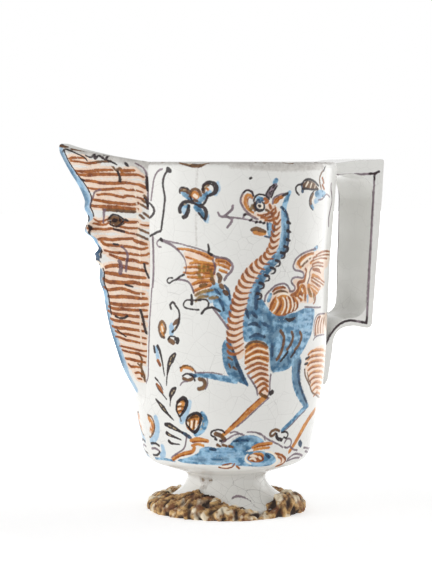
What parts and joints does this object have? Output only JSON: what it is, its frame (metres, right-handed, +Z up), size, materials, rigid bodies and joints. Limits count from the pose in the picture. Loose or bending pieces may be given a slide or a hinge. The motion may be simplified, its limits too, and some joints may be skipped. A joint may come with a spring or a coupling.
{
  "type": "pouring jug",
  "caption": "Footed tin-glazed earthenware jug with a tapering cup, a tall beak-shaped spout carrying a relief mask, a square slab handle and painted decoration.",
  "frame": {"origin": "on the table, under the middle of the jug's overall length from spout tip to handle", "axes": "+Z up; the spout points to -X and the handle to +X; +Y is the jug's other side, away from the picture's view"},
  "size_m": [0.1958, 0.1276, 0.212],
  "materials": {
    "glaze": "glossy tin glaze",
    "bare_clay": "rough unglazed clay"
  },
  "bodies": {
    "root": {"body": "glaze", "foot_pedestal": "glaze", "foot_rim": "bare_clay", "spout": "glaze", "mask_brow": "glaze", "mask_nose": "glaze", "mask_eye_left": "glaze", "mask_eye_right": "glaze", "mask_moustache": "glaze", "mask_lip": "glaze", "mask_chin": "glaze", "handle_top_arm": "glaze", "handle_grip": "glaze", "handle_lower_arm": "glaze"}
  },
  "joints": []
}
